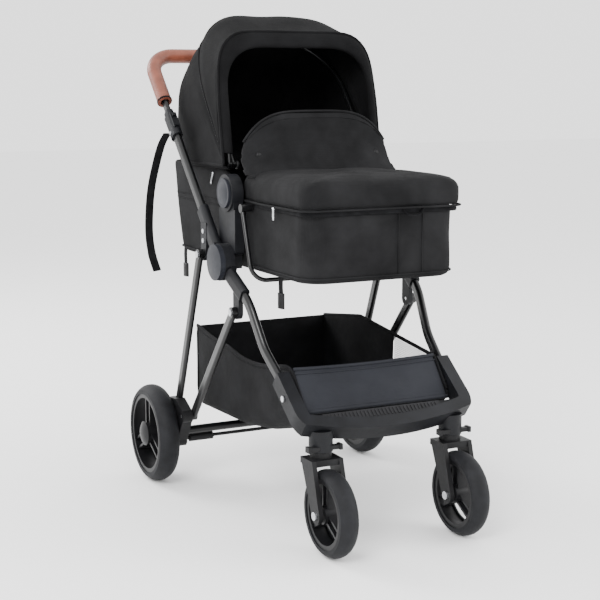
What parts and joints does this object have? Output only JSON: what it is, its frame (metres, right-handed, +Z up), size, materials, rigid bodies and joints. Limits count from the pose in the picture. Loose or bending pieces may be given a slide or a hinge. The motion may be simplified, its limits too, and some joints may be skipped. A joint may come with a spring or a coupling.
{
  "type": "baby stroller with carrycot",
  "caption": "Folding baby stroller: tube frame with sliding leather-covered handle, swivel front wheels, basket, and a carrycot with apron and folding hood.",
  "frame": {"origin": "centre of the bounding box, on the floor under the wheels", "axes": "+Z up, the stroller faces -Y, +X is its left side"},
  "size_m": [0.59, 0.8802, 1.0296],
  "materials": {
    "black_tube": "gloss black paint",
    "moulded_plastic": "satin moulded",
    "cap_plastic": "satin blue grey",
    "bracket_plastic": "satin moulded",
    "tyre_foam": "smooth foam rubber",
    "rim_plastic": "satin moulded",
    "bright_steel": "zinc plated",
    "tan_leather": "stitched imitation leather",
    "webbing": "woven",
    "mattress_cover": "quilted",
    "black_canvas": "plain weave polyester",
    "hood_canvas": "plain weave polyester",
    "basket_nylon": "coated nylon",
    "tread_rubber": "ribbed"
  },
  "bodies": {
    "front_frame": {"front_leg_right": "black_tube", "front_leg_left": "black_tube", "footrest": "moulded_plastic", "footrest_tread": "tread_rubber", "fold_hub_lower_right": "moulded_plastic", "fold_hub_lower_left": "moulded_plastic", "seat_post_right": "moulded_plastic", "seat_post_left": "moulded_plastic", "basket": "basket_nylon", "frame_fasteners": "bright_steel"},
    "handle_frame": {"handle_tube_right": "black_tube", "handle_tube_left": "black_tube", "fold_hub_upper_right": "moulded_plastic", "fold_hub_upper_left": "moulded_plastic", "height_adjuster_right": "moulded_plastic", "height_adjuster_left": "moulded_plastic", "hub_cover_right": "cap_plastic", "hub_cover_left": "cap_plastic", "wrist_strap": "webbing", "handle_rivets": "bright_steel"},
    "handle": {"handle_bar": "black_tube", "leather_grip": "tan_leather"},
    "struts": {"strut_right": "black_tube", "strut_left": "black_tube"},
    "rear_frame": {"rear_leg_right": "black_tube", "rear_leg_left": "black_tube", "rear_bracket_right": "bracket_plastic", "rear_bracket_left": "bracket_plastic", "rear_cross_tube": "black_tube", "rear_axles": "bright_steel", "rear_rivets": "bright_steel"},
    "brake": {"brake_bar": "bracket_plastic"},
    "cot": {"carrycot": "black_canvas", "mattress": "mattress_cover", "apron": "black_canvas", "wind_flap": "black_canvas", "hood_fabric": "hood_canvas", "leg_rest_bar": "black_tube"},
    "hood_rear": {"hood_bow_rear": "black_tube"},
    "hood_front": {"hood_bow_front": "black_tube"},
    "seat_button_right": {"seat_button_right": "cap_plastic"},
    "height_lever_right": {"adjuster_lever_right": "moulded_plastic"},
    "rear_wheel_right": {"rear_tyre_right": "tyre_foam", "rear_rim_right": "rim_plastic"},
    "caster_right": {"caster_fork_right": "bracket_plastic", "front_axle_right": "bright_steel"},
    "swivel_lock_right": {"caster_lock_right": "bracket_plastic"},
    "front_wheel_right": {"front_tyre_right": "tyre_foam", "front_rim_right": "rim_plastic"},
    "seat_button_left": {"seat_button_left": "cap_plastic"},
    "height_lever_left": {"adjuster_lever_left": "moulded_plastic"},
    "rear_wheel_left": {"rear_tyre_left": "tyre_foam", "rear_rim_left": "rim_plastic"},
    "caster_left": {"caster_fork_left": "bracket_plastic", "front_axle_left": "bright_steel"},
    "swivel_lock_left": {"caster_lock_left": "bracket_plastic"},
    "front_wheel_left": {"front_tyre_left": "tyre_foam", "front_rim_left": "rim_plastic"}
  },
  "joints": [
    {"name": "frame_fold", "type": "hinge", "parent": "front_frame", "child": "handle_frame", "pos_m": [0, 0.005, 0.52], "axis": [-1, 0, 0], "range_deg": [0, 90], "deforming": ["wrist_strap"]},
    {"name": "strut_fold", "type": "hinge", "parent": "front_frame", "child": "struts", "pos_m": [0, -0.056, 0.425], "axis": [-1, 0, 0], "range_deg": [0, 50]},
    {"name": "rear_fold", "type": "hinge", "parent": "struts", "child": "rear_frame", "pos_m": [0, 0.165, 0.164], "axis": [1, 0, 0], "range_deg": [0, 18]},
    {"name": "handle_height", "type": "slide", "parent": "handle_frame", "child": "handle", "axis": [0, 0.6959, 0.7181], "range_m": [0, 0.17]},
    {"name": "height_lever_right", "type": "hinge", "parent": "handle_frame", "child": "height_lever_right", "pos_m": [-0.203, 0.25533, 0.79125], "axis": [-1, 0, 0], "range_deg": [0, 5], "stiffness_Nm_per_rad": 0.4},
    {"name": "seat_button_right", "type": "slide", "parent": "front_frame", "child": "seat_button_right", "axis": [1, 0, 0], "range_m": [0, 0.0035], "stiffness_N_per_m": 400},
    {"name": "rear_wheel_spin_right", "type": "hinge", "parent": "rear_frame", "child": "rear_wheel_right", "pos_m": [-0.263, 0.265, 0.108], "axis": [1, 0, 0], "continuous": true},
    {"name": "caster_swivel_right", "type": "hinge", "parent": "front_frame", "child": "caster_right", "pos_m": [-0.144, -0.314, 0.2], "axis": [0, 0, 1], "continuous": true},
    {"name": "front_wheel_spin_right", "type": "hinge", "parent": "caster_right", "child": "front_wheel_right", "pos_m": [-0.144, -0.356, 0.084], "axis": [1, 0, 0], "continuous": true},
    {"name": "swivel_lock_right", "type": "slide", "parent": "front_frame", "child": "swivel_lock_right", "axis": [-1, 0, 0], "range_m": [0, 0.006]},
    {"name": "height_lever_left", "type": "hinge", "parent": "handle_frame", "child": "height_lever_left", "pos_m": [0.203, 0.25533, 0.79125], "axis": [-1, 0, 0], "range_deg": [0, 5], "stiffness_Nm_per_rad": 0.4},
    {"name": "seat_button_left", "type": "slide", "parent": "front_frame", "child": "seat_button_left", "axis": [-1, 0, 0], "range_m": [0, 0.0035], "stiffness_N_per_m": 400},
    {"name": "rear_wheel_spin_left", "type": "hinge", "parent": "rear_frame", "child": "rear_wheel_left", "pos_m": [0.263, 0.265, 0.108], "axis": [1, 0, 0], "continuous": true},
    {"name": "caster_swivel_left", "type": "hinge", "parent": "front_frame", "child": "caster_left", "pos_m": [0.144, -0.314, 0.2], "axis": [0, 0, 1], "continuous": true},
    {"name": "front_wheel_spin_left", "type": "hinge", "parent": "caster_left", "child": "front_wheel_left", "pos_m": [0.144, -0.356, 0.084], "axis": [1, 0, 0], "continuous": true},
    {"name": "swivel_lock_left", "type": "slide", "parent": "front_frame", "child": "swivel_lock_left", "axis": [1, 0, 0], "range_m": [0, 0.006]},
    {"name": "seat_recline", "type": "hinge", "parent": "front_frame", "child": "cot", "pos_m": [0, 0.009, 0.66], "axis": [-1, 0, 0], "range_deg": [0, 20]},
    {"name": "hood_fold", "type": "hinge", "parent": "cot", "child": "hood_rear", "pos_m": [0, 0.042, 0.714], "axis": [-1, 0, 0], "range_deg": [0, 38], "deforming": ["hood_fabric"]},
    {"name": "hood_front_fold", "type": "hinge", "parent": "hood_rear", "child": "hood_front", "pos_m": [0, 0.042, 0.714], "axis": [-1, 0, 0], "range_deg": [0, 23], "deforming": ["hood_fabric"]},
    {"name": "brake_pedal", "type": "hinge", "parent": "rear_frame", "child": "brake", "pos_m": [0, 0.202, 0.104], "axis": [-1, 0, 0], "range_deg": [0, 14]}
  ],
  "couplings": [
    {"joint": "strut_fold", "follows": "frame_fold", "ratio": 0.53},
    {"joint": "rear_fold", "follows": "frame_fold", "ratio": 0.185},
    {"joint": "hood_front_fold", "follows": "hood_fold", "ratio": 0.6}
  ]
}
